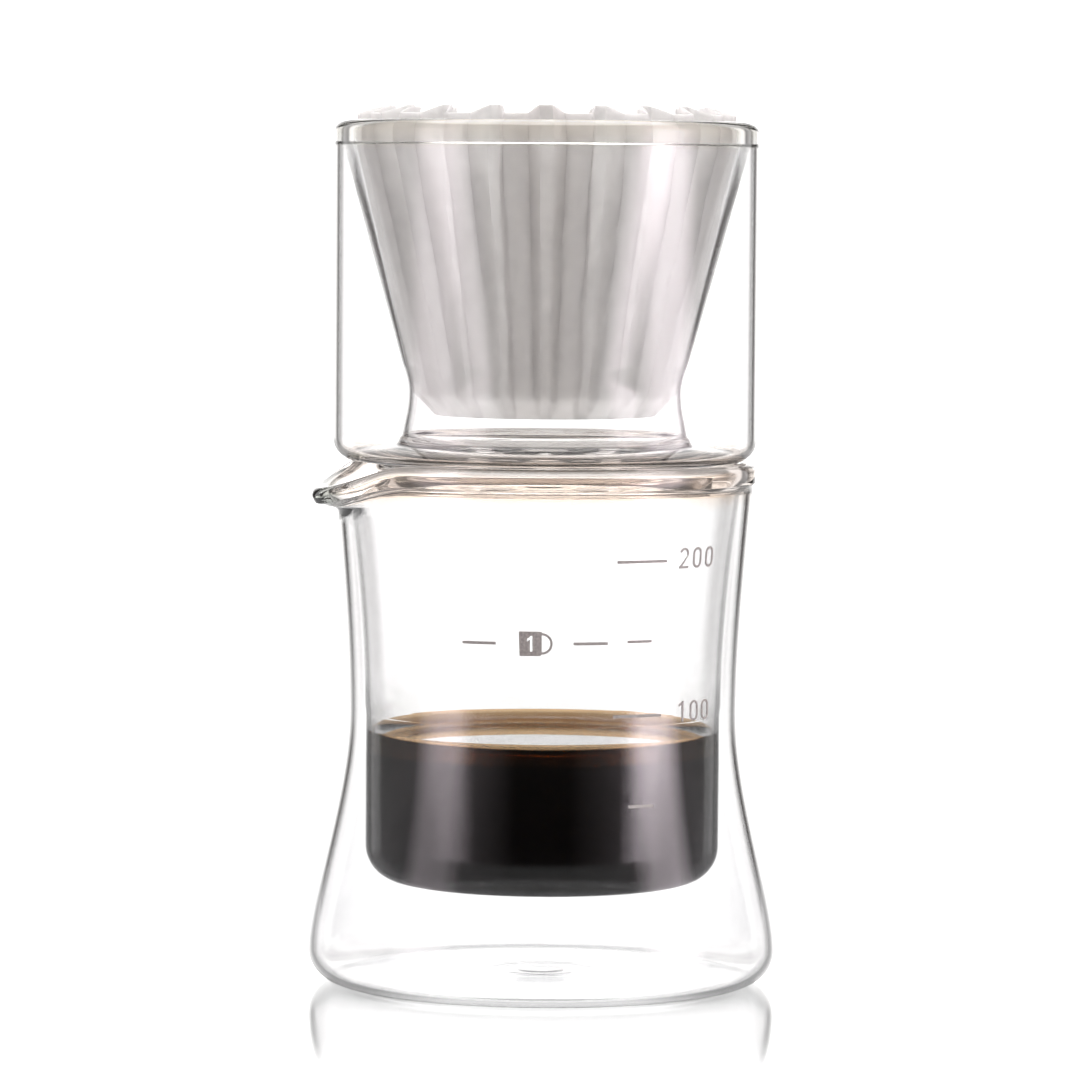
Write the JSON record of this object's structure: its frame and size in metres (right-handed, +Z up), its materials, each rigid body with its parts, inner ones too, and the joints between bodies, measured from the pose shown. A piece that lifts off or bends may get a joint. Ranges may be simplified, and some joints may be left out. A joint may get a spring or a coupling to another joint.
{
  "type": "pour-over coffee server with dripper",
  "caption": "Waisted double-wall glass coffee server with a pouring spout and a printed scale, carrying a double-wall glass dripper with a pleated paper filter.",
  "frame": {"origin": "centre of the server's base, on the table", "axes": "+Z up along the round body's axis; the printed scale faces -Y and the spout points to -X, turned 11 degrees towards the front"},
  "size_m": [0.09, 0.09, 0.1684],
  "materials": {
    "outer_glass": "clear borosilicate glass, fire polished",
    "inner_glass": "clear borosilicate glass, fire polished",
    "thick_glass": "clear glass, darker and faintly green where it is thick",
    "fired_print": "warm light grey ceramic print, matt",
    "coffee": "black coffee, still and glossy, brown at its edge",
    "filter_paper": "white pleated filter paper, thin enough to let light through"
  },
  "bodies": {
    "server": {"server_outer_shell": "outer_glass", "server_inner_vessel": "inner_glass", "server_lip": "thick_glass", "pouring_spout": "thick_glass", "base_seal_tip": "thick_glass", "coffee": "coffee", "scale_ticks": "fired_print", "scale_numerals": "fired_print", "one_cup_mark": "fired_print"},
    "dripper": {"dripper_outer_shell": "outer_glass", "dripper_inner_cone": "inner_glass", "dripper_floor": "inner_glass", "dripper_lip": "thick_glass", "locating_ring": "inner_glass"},
    "filter": {"paper_filter": "filter_paper"}
  },
  "joints": [
    {"name": "dripper_lift", "type": "slide", "parent": "server", "child": "dripper", "axis": [0, 0, 1], "range_m": [0, 0.05]},
    {"name": "filter_lift", "type": "slide", "parent": "dripper", "child": "filter", "axis": [0, 0, 1], "range_m": [0, 0.065]}
  ]
}
